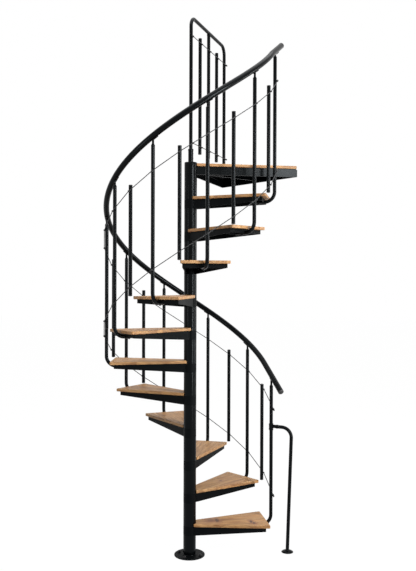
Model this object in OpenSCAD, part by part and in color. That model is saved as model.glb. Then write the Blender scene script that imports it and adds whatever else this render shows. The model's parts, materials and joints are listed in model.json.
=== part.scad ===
// Spiral staircase of the kit type: oak treads on folded steel brackets that
// stack with spacer tubes on a centre pole, a helical tube handrail on bent
// balusters, two taut wire ropes, and a three-cornered top landing with a guard.
// Millimetres, +Z up. The origin is on the floor, on the axis of the centre pole.

/* [Stair] */
// Height from one tread top to the next
rise = 230; // [200:1:260]
// Turn from one tread to the next, in degrees
turn = 34; // [30:0.5:36]
// Direction in which the lowest tread points, in degrees
first_angle = 8.2; // [0:0.1:30]

/* [Centre column] */
// Outside diameter of spacers and bracket hubs
column_d = 89; // [76:1:108]
// Diameter of the centre pole
pole_d = 60; // [40:1:64]
// Diameter of the floor flange
flange_d = 216; // [180:1:260]
// Thickness of the floor flange
flange_t = 8; // [6:1:16]
// Diameter of the circle that its anchor holes lie on
anchor_pcd = 164; // [140:1:176]
// Diameter of the anchor holes
anchor_hole = 13; // [9:0.5:18]
// Height of the column's cap above the landing
cap_h = 6; // [5:1:30]

/* [Treads] */
// Distance of a tread's straight outer edge from the axis
tread_reach = 548; // [450:1:660]
// Length of that outer edge
tread_edge = 331; // [270:1:400]
// Distance of a tread's inner end from the axis
tread_start = 23; // [10:1:28]
// Thickness of the boards
board_t = 20; // [16:1:32]
// Corner rounding of the boards in plan
board_corner = 9; // [3:1:20]

/* [Tread brackets] */
// How far a bracket's outer end stays behind the board's edge
bracket_setback = 28; // [10:1:60]
// How far a bracket stays inside the board's sides
bracket_inset = 12; // [6:1:16]
// Depth of a bracket at its outer end
bracket_end_h = 27; // [24:1:40]
// Depth of a bracket at the column
bracket_hub_h = 63; // [45:1:80]
// Thickness of the sheet steel
sheet_t = 3; // [2:0.5:5]

/* [Balusters] */
// Outside diameter of the baluster tubes
tube_d = 25; // [20:1:30]
// Distance of the balusters' centres from the treads' outer edges
baluster_gap = 43.5; // [36:0.5:60]
// Bend radius of the tubes, to the tube's centre
bend_r = 70; // [66:1:88]
// Height of a long baluster's top above its tread
long_top = 958; // [800:1:980]
// How far a baluster's foot reaches inward past its bend
foot_run = 90; // [60:1:110]
// Short baluster's lower end above the level halfway between two treads
short_bottom = 114; // [60:1:200]
// Length of a short baluster
short_l = 717; // [600:1:760]

/* [Handrail] */
// Diameter of the handrail tube
rail_d = 40; // [34:1:48]
// How far the handrail's centre is inside the balusters' centres
rail_inset = 3; // [0:0.5:12]
// Height of the handrail's centre above the tread below it
rail_h = 1014; // [1000:1:1060]
// Length of the straight lower end, measured in plan
rail_low_run = 254; // [200:1:300]
// Length of the straight upper end, measured in plan
rail_top_run = 236; // [200:1:300]

/* [Wire ropes] */
// Diameter of the ropes
rope_d = 5; // [3:0.5:6]
// Upper rope above the stair's pitch line at the balusters
rope_high = 788; // [600:1:800]
// Lower rope above the stair's pitch line at the balusters
rope_low = 167; // [130:1:300]

/* [Floor support] */
// Reach of the support post from the lowest baluster
support_reach = 122; // [110:1:160]
// Height of its arm above the floor
support_h = 890; // [600:1:940]
// Direction of the arm, in degrees
support_angle = -20; // [-40:1:30]
// How far the post leans out from the stair, in degrees
support_lean = 1.8; // [0:0.1:3]
// Diameter of its foot plate
foot_d = 85; // [60:1:110]

/* [Landing] */
// Distance of the landing's two outer corners from the axis
landing_r = 775; // [640:1:930]
// Angle between those two corners, in degrees
landing_span = 65; // [54:1:78]
// How far the landing's long sides pass beside the axis
landing_side = 22; // [18:1:30]
// Depth of the steel frame under the landing's board
frame_h = 52; // [40:1:80]
// Thickness of the frame's plates
frame_t = 5; // [4:1:8]
// Height of the set-back strip between the frame and the board
strip_h = 7; // [4:1:12]

/* [Guard] */
// Height of the guard's top tube above the landing
guard_h = 1032; // [950:1:1280]
// Lower ends of the guard rods above the landing
guard_rod_bottom = 90; // [60:1:140]
// Length of the guard rods
guard_rod_l = 847; // [700:1:860]

/* [Hidden] */
tread_count = 11;
fine = 64;
arc_steps = 6;
fit_gap = 0.3;
notch_gap = 1;

steel = [0.10, 0.10, 0.11];
oak = [0.80, 0.64, 0.45];
wire = [0.45, 0.46, 0.47];

// The landing's board lies on the strip, a little above the last full rise
frame_top = (tread_count + 1) * rise - board_t;
landing_z = frame_top + strip_h + board_t;

// Floor flange
anchor_count = 4;
anchor_angle = -24;

// Treads: the inner end is a little wider than the column it is notched round
tread_inner = column_d + 5;
tread_taper = (tread_edge - tread_inner) / 2 / (tread_reach - tread_start);
notch_d = column_d + 2 * notch_gap;
inner_corner = 3;

// Brackets
bracket_reach = tread_reach - bracket_setback;
hub_bore = pole_d + 2 * fit_gap;
hub_wall_r = column_d / 2;

// Balusters: the foot's centre line lies just under the bracket's end lip
baluster_r = tread_reach + baluster_gap;
foot_z = -(board_t + tube_d / 2 + 11.5);
foot_start_r = baluster_r - bend_r;
foot_end_r = foot_start_r - foot_run;
foot_slot = tube_d + 2 * fit_gap;
rib_r = foot_end_r + 14;
boss_r = (rib_r + bracket_reach) / 2;
boss_d = 18;

// Wire ropes run on the outer side of the balusters, through small holders
rope_out = tube_d / 2 + rope_d / 2 + 2.3;
rope_r = baluster_r + rope_out;
rope_sides = 8;
holder_hole = rope_d + 1.8;
holder_d = holder_hole + 4.2;
holder_out = rope_out + holder_hole / 2 + 1.6;
stop_d = rope_d + 7;
stop_l = 13;
rope_tail = holder_d / 2 + fit_gap;

// Handrail: a helix between these two baluster positions, straight beyond them
rail_r = baluster_r - rail_inset;
rail_from = 1.36;
rail_to = 10.68;
rail_rings = 62;
rail_sides = 16;
rail_slope = rise / (rail_r * turn * PI / 180);
rail_top_slope = 0.82 * rail_slope;
rail_gap = 0.5;
neck_d = 15;
saddle_l = 46;
saddle_w = 24;
saddle_t = 4;

// Floor support
clamp_d = tube_d + 7;
clamp_h = 48;
foot_t = 6;
support_leg = support_h - foot_t;
support_arm = support_reach + support_leg * sin(support_lean);

// Landing: half angle between its long sides, and its outer edge
landing_half = landing_span / 2 - asin(landing_side / landing_r);
landing_edge = landing_r * cos(landing_span / 2);
landing_gap = 0.8;
landing_angle = angle_at(tread_count) + turn / 2 + landing_span / 2 + landing_gap;
frame_inset = 6;
frame_rib_h = frame_h - 12;
strip_w = 6;
strip_seat = 6;

// Guard: posts and rods stand on a line from the column to the landing's corner
guard_edge = 26.6;
guard_angle = landing_angle + landing_span / 2 - 2.5;
guard_run = (landing_edge - guard_edge) / cos(landing_span / 2 - 2.5);
guard_pitch = guard_run / 4;
guard_bend = 66;
guard_foot_d = tube_d + 25;
guard_foot_t = 5;
sleeve_d = tube_d + 11;
sleeve_h = 95;
guard_rope_low = guard_rod_bottom + 51;
guard_rope_high = guard_rod_bottom + guard_rod_l - 47;

// ---- places ----
// Position i counts treads: whole numbers are treads, halves lie between two
function angle_at(i) = first_angle + (i - 1) * turn;
function level_at(i) = i * rise;
function polar(r, a, z) = [r * cos(a), r * sin(a), z];

// ---- outlines with rounded corners ----
// One corner of an outline, rounded by an arc between its two sides
function corner_arc(before, corner, after, r) =
    let (p = (before - corner) / norm(before - corner),
         q = (after - corner) / norm(after - corner),
         half = acos(p * q) / 2,
         centre = corner + (p + q) / norm(p + q) * r / sin(half),
         from = corner + p * r / tan(half) - centre,
         to = corner + q * r / tan(half) - centre,
         start = atan2(from[1], from[0]),
         swing = atan2(from[0] * to[1] - from[1] * to[0], from * to))
    [for (k = [0:arc_steps]) centre
        + r * [cos(start + swing * k / arc_steps), sin(start + swing * k / arc_steps)]];

function rounded(points, radii) =
    let (n = len(points))
    [for (k = [0:n - 1])
        each corner_arc(points[(k + n - 1) % n], points[k], points[(k + 1) % n], radii[k])];

// ---- sweeping a round section along stations ----
// A station is [centre, radial unit vector, upward unit vector, radius]
function station(centre, a, slope, r) =
    let (c = 1 / sqrt(1 + slope * slope))
    [centre, [cos(a), sin(a), 0], [sin(a) * slope * c, -cos(a) * slope * c, c], r];

module sweep(stations, sides) {
    points = [for (s = stations, k = [0:sides - 1])
        let (a = 360 * (k + 0.5) / sides) s[0] + s[3] * (cos(a) * s[1] + sin(a) * s[2])];
    walls = [for (j = [0:len(stations) - 2], k = [0:sides - 1])
        let (a = j * sides + k, b = j * sides + (k + 1) % sides)
        each [[a, b, b + sides], [a, b + sides, a + sides]]];
    end = (len(stations) - 1) * sides;
    first_cap = [for (k = [1:sides - 2]) [0, k + 1, k]];
    end_cap = [for (k = [1:sides - 2]) [end, end + k, end + k + 1]];
    polyhedron(points, concat(walls, first_cap, end_cap), convexity = 10);
}

// ---- tube work ----
module upright(r, a, from, to, d) {
    translate(polar(r, a, from)) cylinder(d = d, h = to - from, $fn = fine);
}

// A quarter bend in the local XZ plane, from the origin up and towards -X
module quarter_bend(d, r) {
    translate([-r, 0, 0]) rotate([90, 0, 0])
        rotate_extrude(angle = 90, $fn = fine) translate([r, 0]) circle(d = d, $fn = fine);
}

// ---- centre column ----
module floor_flange() {
    color(steel) difference() {
        cylinder(d = flange_d, h = flange_t, $fn = fine);
        for (k = [0:anchor_count - 1])
            translate(polar(anchor_pcd / 2, anchor_angle + 360 * k / anchor_count, -1))
                cylinder(d = anchor_hole, h = flange_t + 2, $fn = fine);
    }
}

module centre_pole() {
    color(steel) upright(0, 0, flange_t, landing_z - board_t, pole_d);
}

module column_tube(from, to) {
    translate([0, 0, from]) difference() {
        cylinder(d = column_d, h = to - from, $fn = fine);
        translate([0, 0, -1]) cylinder(d = hub_bore, h = to - from + 2, $fn = fine);
    }
}

module column_spacers() {
    color(steel) for (i = [0:tread_count])
        column_tube(i == 0 ? flange_t : level_at(i) - board_t,
            i == tread_count ? frame_top - frame_h
                             : level_at(i + 1) - board_t - bracket_hub_h);
}

module column_cap() {
    color(steel) {
        upright(0, 0, landing_z - board_t, landing_z + cap_h, column_d);
        translate([0, 0, landing_z + cap_h]) difference() {
            cylinder(d = sleeve_d, h = sleeve_h, $fn = fine);
            cylinder(d = tube_d + 2 * fit_gap, h = sleeve_h + 1, $fn = fine);
        }
    }
}

// ---- treads and their brackets ----
function tread_half(r) = tread_inner / 2 + (r - tread_start) * tread_taper;

module tread(i) {
    outline = [[tread_start, -tread_inner / 2], [tread_reach, -tread_edge / 2],
               [tread_reach, tread_edge / 2], [tread_start, tread_inner / 2]];
    color(oak) translate([0, 0, level_at(i) - board_t]) rotate([0, 0, angle_at(i)])
        difference() {
            linear_extrude(board_t) polygon(rounded(outline,
                [inner_corner, board_corner, board_corner, inner_corner]));
            translate([0, 0, -1]) cylinder(d = notch_d, h = board_t + 2, $fn = fine);
        }
}

// Plan of the folded pan; inset takes the sheet's thickness off its three edges
module pan_plan(inset, start) {
    half_start = tread_half(start) - bracket_inset - inset;
    half_end = tread_half(bracket_reach - inset) - bracket_inset - inset;
    polygon([[start, -half_start], [bracket_reach - inset, -half_end],
             [bracket_reach - inset, half_end], [start, half_start]]);
}

// Side view of the pan: its lower edge falls towards the column
module pan_side() {
    rotate([90, 0, 0]) linear_extrude(2 * tread_edge, center = true)
        polygon([[0, -board_t], [bracket_reach, -board_t],
                 [bracket_reach, -board_t - bracket_end_h],
                 [hub_wall_r, -board_t - bracket_hub_h], [0, -board_t - bracket_hub_h]]);
}

module pan_walls() {
    pan_start = hub_wall_r * 0.6;
    bottom = -board_t - bracket_hub_h;
    difference() {
        translate([0, 0, bottom]) linear_extrude(bracket_hub_h) pan_plan(0, pan_start);
        translate([0, 0, bottom - 1]) linear_extrude(bracket_hub_h + 1 - sheet_t)
            pan_plan(sheet_t, pan_start - 10);
    }
}

// Rib and boss inside the pan that the baluster's foot is bolted up against
module foot_seat() {
    half = tread_half(rib_r) - bracket_inset - sheet_t / 2;
    translate([rib_r - sheet_t / 2, -half, -board_t - bracket_hub_h])
        cube([sheet_t, 2 * half, bracket_hub_h - sheet_t / 2]);
    translate([boss_r, 0, foot_z]) cylinder(d = boss_d, h = -foot_z - board_t - sheet_t / 2, $fn = fine);
}

module foot_clearance() {
    translate([foot_end_r - fit_gap, 0, foot_z]) {
        rotate([0, 90, 0]) cylinder(d = foot_slot, h = foot_run + bend_r, $fn = fine);
        translate([0, -foot_slot / 2, -bracket_hub_h])
            cube([foot_run + bend_r, foot_slot, bracket_hub_h]);
    }
}

module tread_bracket(i) {
    color(steel) translate([0, 0, level_at(i)]) rotate([0, 0, angle_at(i)])
        difference() {
            union() {
                difference() {
                    intersection() {
                        union() {
                            pan_walls();
                            foot_seat();
                        }
                        pan_side();
                    }
                    foot_clearance();
                }
                translate([0, 0, -board_t - bracket_hub_h])
                    cylinder(d = column_d, h = bracket_hub_h, $fn = fine);
            }
            translate([0, 0, -board_t - bracket_hub_h - 1])
                cylinder(d = hub_bore, h = bracket_hub_h + 2, $fn = fine);
        }
}

// ---- balusters ----
module long_baluster(i) {
    rotate([0, 0, angle_at(i)]) translate([0, 0, level_at(i)]) {
        upright(baluster_r, 0, foot_z + bend_r, long_top, tube_d);
        translate([baluster_r, 0, foot_z + bend_r]) mirror([0, 0, 1])
            quarter_bend(tube_d, bend_r);
        translate([foot_end_r, 0, foot_z]) rotate([0, 90, 0])
            cylinder(d = tube_d, h = foot_run, $fn = fine);
    }
}

module long_balusters() {
    color(steel) for (i = [1:tread_count]) long_baluster(i);
}

module short_balusters() {
    color(steel) for (i = [1.5:1:tread_count]) let (z = level_at(i) + short_bottom)
        upright(baluster_r, angle_at(i), z, z + short_l, tube_d);
}

// ---- handrail ----
function rail_helix(t) = polar(rail_r, angle_at(t), level_at(t) + rail_h);
function rail_low_dir() =
    [sin(angle_at(rail_from)), -cos(angle_at(rail_from)), -rail_slope];
function rail_top_dir() =
    [-sin(angle_at(rail_to)), cos(angle_at(rail_to)), rail_top_slope];

// The handrail's line beside position t, on the helix or on a straight end
function rail_centre(t) =
    t < rail_from ? rail_helix(rail_from) + rail_r * tan((rail_from - t) * turn) * rail_low_dir()
    : t > rail_to ? rail_helix(rail_to) + rail_r * tan((t - rail_to) * turn) * rail_top_dir()
    : rail_helix(t);
function rail_heading(t) = angle_at(t < rail_from ? rail_from : t > rail_to ? rail_to : t);
function rail_slope_at(t) = t > rail_to ? rail_top_slope : rail_slope;

module handrail() {
    r = rail_d / 2;
    low = [for (k = [2:-1:0]) station(
        rail_helix(rail_from) + (rail_low_run + 0.5 * r * sin(30 * k)) * rail_low_dir(),
        angle_at(rail_from), rail_slope, r * cos(30 * k))];
    helix = [for (k = [0:rail_rings]) let (t = rail_from + (rail_to - rail_from) * k / rail_rings)
        station(rail_helix(t), angle_at(t), rail_slope, r)];
    top = [for (k = [0:2]) station(
        rail_helix(rail_to) + (rail_top_run + 0.5 * r * sin(30 * k)) * rail_top_dir(),
        angle_at(rail_to), rail_top_slope, r * cos(30 * k))];
    color(steel) sweep(concat(low, helix, top), rail_sides);
}

// A round bar along the handrail at position t
module rail_bar(t, d, l) {
    translate(rail_centre(t)) rotate([0, 0, rail_heading(t)])
        rotate([atan(rail_slope_at(t)) - 90, 0, 0])
            cylinder(d = d, h = l, center = true, $fn = fine);
}

// Curved plate under the handrail on a neck that closes the baluster's top
module handrail_saddle(i) {
    difference() {
        union() {
            upright(baluster_r, angle_at(i), level_at(i) + long_top,
                rail_centre(i)[2], neck_d);
            intersection() {
                rail_bar(i, rail_d + 2 * (rail_gap + saddle_t), saddle_l);
                translate(rail_centre(i)) rotate([0, 0, rail_heading(i)])
                    rotate([atan(rail_slope_at(i)), 0, 0])
                        translate([-saddle_w / 2, -saddle_l, -2 * rail_d])
                            cube([saddle_w, 2 * saddle_l, 2 * rail_d]);
            }
        }
        rail_bar(i, rail_d + 2 * rail_gap, 6 * rail_d);
    }
}

module handrail_saddles() {
    color(steel) for (i = [1:tread_count]) handrail_saddle(i);
}

// ---- wire ropes of the stair ----
rope_slope = rise / (rope_r * turn * PI / 180);
rope_dir_scale = 1 / sqrt(1 + rope_slope * rope_slope);
function rope_tangent(a) =
    rope_dir_scale * [-sin(a), cos(a), rope_slope];
function rope_point(i, h) = polar(rope_r, angle_at(i), level_at(i) + h);

module rope(h) {
    at_balusters = [for (i = [1:0.5:tread_count])
        station(rope_point(i, h), angle_at(i), rope_slope, rope_d / 2)];
    low_end = station(rope_point(1, h) - rope_tail * rope_tangent(angle_at(1)),
        angle_at(1), rope_slope, rope_d / 2);
    top_end = station(rope_point(tread_count, h)
        + rope_tail * rope_tangent(angle_at(tread_count)),
        angle_at(tread_count), rope_slope, rope_d / 2);
    sweep(concat([low_end], at_balusters, [top_end]), rope_sides);
}

module upper_rope() {
    color(wire) rope(rope_high);
}

module lower_rope() {
    color(wire) rope(rope_low);
}

// Local frame: a baluster on the Z axis, the rope at +X, running along +Y and up
module holder(slope) {
    difference() {
        rotate([0, 90, 0]) cylinder(d = holder_d, h = holder_out, $fn = fine);
        cylinder(d = tube_d + fit_gap, h = 4 * holder_d, center = true, $fn = fine);
        translate([rope_out, 0, 0]) rotate([atan(slope) - 90, 0, 0])
            cylinder(d = holder_hole, h = 4 * holder_d, center = true, $fn = fine);
    }
}

module rope_holders() {
    color(steel) for (i = [1:0.5:tread_count], h = [rope_high, rope_low])
        translate(polar(baluster_r, angle_at(i), level_at(i) + h))
            rotate([0, 0, angle_at(i)]) holder(rope_slope);
}

module rope_stops() {
    color(steel) for (end = [[1, 180], [tread_count, 0]], h = [rope_high, rope_low])
        translate(rope_point(end[0], h)) rotate([0, 0, angle_at(end[0])])
            rotate([atan(rope_slope) - 90 + end[1], 0, 0])
                translate([0, 0, rope_tail]) cylinder(d = stop_d, h = stop_l, $fn = fine);
}

// ---- floor support ----
module at_lowest_baluster() {
    translate(polar(baluster_r, angle_at(1), 0)) rotate([0, 0, support_angle]) children();
}

module support_clamp() {
    color(steel) at_lowest_baluster() translate([0, 0, support_h - clamp_h / 2])
        difference() {
            cylinder(d = clamp_d, h = clamp_h, $fn = fine);
            translate([0, 0, -1])
                cylinder(d = tube_d + 2 * fit_gap, h = clamp_h + 2, $fn = fine);
        }
}

module support_post() {
    color(steel) at_lowest_baluster() {
        translate([support_reach, 0, 0]) cylinder(d = foot_d, h = foot_t, $fn = fine);
        difference() {
            translate([support_reach, 0, foot_t]) rotate([0, support_lean, 0]) {
                upright(0, 0, -foot_t / 2, support_leg - bend_r, tube_d);
                translate([0, 0, support_leg - bend_r]) quarter_bend(tube_d, bend_r);
                translate([-support_arm, 0, support_leg]) rotate([0, 90, 0])
                    cylinder(d = tube_d, h = support_arm - bend_r, $fn = fine);
            }
            translate([0, 0, support_h - clamp_h])
                cylinder(d = clamp_d + fit_gap, h = 2 * clamp_h, $fn = fine);
        }
    }
}

// ---- landing ----
// Plan of the landing, local X towards its outer edge: the long sides move in by inset
// and the outer edge by edge_inset
function landing_half_width(x, inset) =
    x * tan(landing_half) + (landing_side - inset) / cos(landing_half);
function landing_plan(inset, edge_inset) =
    let (near = 10, far = landing_edge - edge_inset)
    [[near, -landing_half_width(near, inset)], [far, -landing_half_width(far, inset)],
     [far, landing_half_width(far, inset)], [near, landing_half_width(near, inset)]];

module landing_board() {
    color(oak) translate([0, 0, landing_z - board_t]) rotate([0, 0, landing_angle])
        difference() {
            linear_extrude(board_t) polygon(rounded(landing_plan(0, 0),
                [inner_corner, board_corner, board_corner, inner_corner]));
            translate([0, 0, -1]) cylinder(d = notch_d, h = board_t + 2, $fn = fine);
        }
}

module landing_frame() {
    strip_start = frame_inset + frame_t - strip_w / 3;
    color(steel) translate([0, 0, frame_top - frame_h])
        rotate([0, 0, landing_angle]) difference() {
            union() {
                linear_extrude(frame_h) difference() {
                    polygon(landing_plan(frame_inset, 0));
                    polygon(landing_plan(frame_inset + frame_t, frame_t));
                }
                translate([0, 0, frame_h - strip_seat])
                    linear_extrude(strip_seat + strip_h) difference() {
                        polygon(landing_plan(strip_start, strip_start - frame_inset));
                        polygon(landing_plan(strip_start + strip_w,
                            strip_start - frame_inset + strip_w));
                    }
                translate([0, -frame_t / 2, frame_h - frame_rib_h])
                    cube([landing_edge - 0.8 * frame_t, frame_t, frame_rib_h + strip_h]);
                cylinder(d = column_d, h = frame_h + strip_h, $fn = fine);
            }
            translate([0, 0, -1])
                cylinder(d = hub_bore, h = frame_h + strip_h + 2, $fn = fine);
        }
}

// ---- guard along the landing's open side ----
module along_guard(s) {
    rotate([0, 0, guard_angle]) translate([s, 0, landing_z]) children();
}

module guard_frame() {
    straight_top = guard_h - guard_bend;
    color(steel) along_guard(0) {
        upright(0, 0, cap_h, straight_top, tube_d);
        translate([0, 0, straight_top]) mirror([1, 0, 0]) quarter_bend(tube_d, guard_bend);
        translate([guard_bend, 0, guard_h]) rotate([0, 90, 0])
            cylinder(d = tube_d, h = guard_run - 2 * guard_bend, $fn = fine);
        translate([guard_run, 0, straight_top]) quarter_bend(tube_d, guard_bend);
        upright(guard_run, 0, guard_foot_t, straight_top, tube_d);
        translate([guard_run, 0, 0]) cylinder(d = guard_foot_d, h = guard_foot_t, $fn = fine);
        upright(2 * guard_pitch, 0, guard_rod_bottom, guard_h, tube_d);
    }
}

module guard_rods() {
    color(steel) for (k = [1, 3]) along_guard(k * guard_pitch)
        upright(0, 0, guard_rod_bottom, guard_rod_bottom + guard_rod_l, tube_d);
}

module guard_ropes() {
    color(wire) for (h = [guard_rope_low, guard_rope_high])
        along_guard(-rope_tail) translate([0, -rope_out, h]) rotate([0, 90, 0])
            cylinder(d = rope_d, h = guard_run + 2 * rope_tail, $fn = fine);
}

module guard_rope_holders() {
    color(steel) for (k = [0:4], h = [guard_rope_low, guard_rope_high])
        along_guard(k * guard_pitch) translate([0, 0, h]) rotate([0, 0, -90]) holder(0);
}

module guard_rope_stops() {
    color(steel) for (s = [-rope_tail - stop_l, guard_run + rope_tail],
                      h = [guard_rope_low, guard_rope_high])
        along_guard(s) translate([0, -rope_out, h]) rotate([0, 90, 0])
            cylinder(d = stop_d, h = stop_l, $fn = fine);
}

floor_flange();
centre_pole();
column_spacers();
tread(1);  // tread_01
tread(2);  // tread_02
tread(3);  // tread_03
tread(4);  // tread_04
tread(5);  // tread_05
tread(6);  // tread_06
tread(7);  // tread_07
tread(8);  // tread_08
tread(9);  // tread_09
tread(10);  // tread_10
tread(11);  // tread_11
tread_bracket(1);  // tread_bracket_01
tread_bracket(2);  // tread_bracket_02
tread_bracket(3);  // tread_bracket_03
tread_bracket(4);  // tread_bracket_04
tread_bracket(5);  // tread_bracket_05
tread_bracket(6);  // tread_bracket_06
tread_bracket(7);  // tread_bracket_07
tread_bracket(8);  // tread_bracket_08
tread_bracket(9);  // tread_bracket_09
tread_bracket(10);  // tread_bracket_10
tread_bracket(11);  // tread_bracket_11
long_balusters();
short_balusters();
handrail();
handrail_saddles();
upper_rope();
lower_rope();
rope_holders();
rope_stops();
support_post();
support_clamp();
landing_board();
landing_frame();
column_cap();
guard_frame();
guard_rods();
guard_ropes();
guard_rope_holders();
guard_rope_stops();
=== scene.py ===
"""A spiral staircase: oak treads on powder-coated steel brackets round a centre column."""

import json
import math
from contextlib import contextmanager

import bmesh
import bpy
from mathutils import Matrix, Vector

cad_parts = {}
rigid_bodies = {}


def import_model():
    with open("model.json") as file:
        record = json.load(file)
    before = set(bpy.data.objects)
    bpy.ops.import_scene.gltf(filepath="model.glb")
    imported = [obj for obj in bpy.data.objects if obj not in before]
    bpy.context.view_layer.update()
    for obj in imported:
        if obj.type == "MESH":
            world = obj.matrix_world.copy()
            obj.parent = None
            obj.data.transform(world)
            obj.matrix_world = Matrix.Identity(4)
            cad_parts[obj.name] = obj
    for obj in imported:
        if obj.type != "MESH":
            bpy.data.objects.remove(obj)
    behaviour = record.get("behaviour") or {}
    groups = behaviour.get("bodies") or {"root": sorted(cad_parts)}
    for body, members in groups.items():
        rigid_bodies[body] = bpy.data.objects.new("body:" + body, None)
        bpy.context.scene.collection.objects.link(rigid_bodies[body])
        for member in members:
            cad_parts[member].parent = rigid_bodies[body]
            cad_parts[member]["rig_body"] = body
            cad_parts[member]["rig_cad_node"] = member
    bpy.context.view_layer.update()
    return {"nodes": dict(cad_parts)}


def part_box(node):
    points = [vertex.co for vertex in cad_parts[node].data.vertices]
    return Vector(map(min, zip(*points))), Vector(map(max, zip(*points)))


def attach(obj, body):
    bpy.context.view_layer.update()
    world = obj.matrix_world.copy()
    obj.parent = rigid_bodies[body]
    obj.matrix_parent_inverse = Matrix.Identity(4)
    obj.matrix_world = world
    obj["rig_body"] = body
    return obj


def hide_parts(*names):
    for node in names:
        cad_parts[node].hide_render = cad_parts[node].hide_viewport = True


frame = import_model()

# ---- the stair's layout, in metres and radians ----
TREADS = 11
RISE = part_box("tread_02")[1].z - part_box("tread_01")[1].z
TURN = math.radians(34)
FIRST = math.radians(8.2)
LANDING_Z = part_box("landing_board")[1].z
BOARD_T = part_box("tread_01")[1].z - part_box("tread_01")[0].z

# ---- column ----
COLUMN_R = 0.0445
BORE_R = 0.0303
FLANGE_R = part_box("floor_flange")[1].x
FLANGE_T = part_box("floor_flange")[1].z
ANCHOR_R = 0.082
ANCHOR_FIRST = math.radians(-24)
ANCHORS = 4
HUB_H = 0.063
SHEET_T = 0.003
FRAME_H = 0.052
FRAME_TOP = (TREADS + 1) * RISE - BOARD_T
CAP_TOP = LANDING_Z + 0.006
SLEEVE_R = 0.018
SLEEVE_H = 0.095

# ---- tubes ----
TUBE_R = 0.0125
BEND_R = 0.070
BALUSTER_R = 0.5915
FOOT_Z = -0.044
FOOT_END_R = 0.4315
LONG_TOP = 0.958
SHORT_BOTTOM = 0.114
SHORT_L = 0.717
TUBE_SIDES = 32
BEND_STEPS = 14

# ---- handrail ----
RAIL_R = 0.020
RAIL_HELIX_R = 0.5885
RAIL_H = 1.014
RAIL_FROM = 1.36
RAIL_TO = 10.68
RAIL_LOW_RUN = 0.254
RAIL_TOP_RUN = 0.236
RAIL_SLOPE = RISE / (RAIL_HELIX_R * TURN)
RAIL_TOP_SLOPE = 0.82 * RAIL_SLOPE
RAIL_SIDES = 40
RAIL_STEPS = 240

# ---- wire ropes ----
ROPE_R = 0.0029
ROPE_OUT = 0.0173
ROPE_HIGH = 0.788
ROPE_LOW = 0.167
ROPE_TAIL = 0.0058
ROPE_STRANDS = 6
ROPE_LAY = 0.042
ROPE_SLOPE = RISE / ((BALUSTER_R + ROPE_OUT) * TURN)
STOP_L = 0.013
STOP_R = 0.006

# ---- floor support ----
SUPPORT_REACH = 0.122
SUPPORT_H = 0.890
SUPPORT_DIR = math.radians(-20)
SUPPORT_LEAN = math.radians(1.8)
CLAMP_R = 0.0160
FOOT_T = 0.006
FOOT_R = 0.0425

# ---- landing and guard ----
LANDING_DIR = math.radians(38.5)
LANDING_GRAIN = LANDING_DIR - math.radians(30.9)
GUARD_DIR = math.radians(68.5)
GUARD_RUN = 0.72402
GUARD_H = 1.032
GUARD_BEND = 0.066
GUARD_ROD_LOW = 0.090
GUARD_ROD_L = 0.847
GUARD_ROPES = (GUARD_ROD_LOW + 0.051, GUARD_ROD_LOW + GUARD_ROD_L - 0.047)

UP = Vector((0, 0, 1))
X_AXIS = Vector((1, 0, 0))
SMOOTH_ANGLE = math.radians(32)


# ---- places ----
def angle_at(i):
    return FIRST + (i - 1) * TURN


def level_at(i):
    return i * RISE


def polar(r, a, z):
    return Vector((r * math.cos(a), r * math.sin(a), z))


def spot(point, angle=0.0):
    """The matrix that puts a piece at a point, turned about the vertical."""
    return Matrix.Translation(point) @ Matrix.Rotation(angle, 4, "Z")


def facing(point, heading):
    """The matrix that puts a piece at a point with its Z axis along a heading."""
    return Matrix.Translation(point) @ Vector(heading).to_track_quat("Z", "Y").to_matrix().to_4x4()


# ---- shaping tools ----
def deselect():
    bpy.ops.object.select_all(action="DESELECT")


def only(piece):
    deselect()
    piece.select_set(True)
    bpy.context.view_layer.objects.active = piece


@contextmanager
def editing(piece):
    only(piece)
    bpy.ops.object.mode_set(mode="EDIT")
    bpy.ops.mesh.select_mode(type="VERT")
    yield bmesh.from_edit_mesh(piece.data)
    bpy.ops.object.mode_set(mode="OBJECT")


def pick_faces(mesh, wanted):
    """Selects the faces that pass a test, and no others, in edit mode."""
    bpy.ops.mesh.select_all(action="DESELECT")
    bpy.ops.mesh.select_mode(type="FACE")
    for face in mesh.faces:
        face.select_set(wanted(face))


def pick_corners(mesh, wanted):
    """Selects the corners whose place passes a test, and no others, in edit mode."""
    bpy.ops.mesh.select_all(action="DESELECT")
    for corner in mesh.verts:
        corner.select_set(wanted(corner.co))
    mesh.select_flush_mode()


def face_outwards(piece):
    with editing(piece):
        bpy.ops.mesh.select_all(action="SELECT")
        bpy.ops.mesh.normals_make_consistent(inside=False)


def start_ring(radius, sides, centre, heading):
    """A ring of edges square to its heading, selected all over, in edit mode."""
    deselect()
    turn = Vector(heading).to_track_quat("Z", "Y").to_euler()
    bpy.ops.mesh.primitive_circle_add(
        vertices=sides, radius=radius, location=centre, rotation=turn)
    bpy.ops.object.transform_apply(location=True, rotation=True, scale=True)
    bpy.ops.object.mode_set(mode="EDIT")
    bpy.ops.mesh.select_mode(type="VERT")
    bpy.ops.mesh.select_all(action="SELECT")


def push(offset):
    bpy.ops.mesh.extrude_region_move(TRANSFORM_OT_translate={"value": tuple(offset)})


def resize(factors, centre):
    bpy.ops.transform.resize(value=factors, center_override=tuple(centre))


def swing(angle, centre, axis, steps):
    """Sweeps the selected ring round an axis by the right-hand rule."""
    bpy.ops.mesh.spin(steps=steps, angle=angle, center=centre, axis=-Vector(axis))


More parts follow.
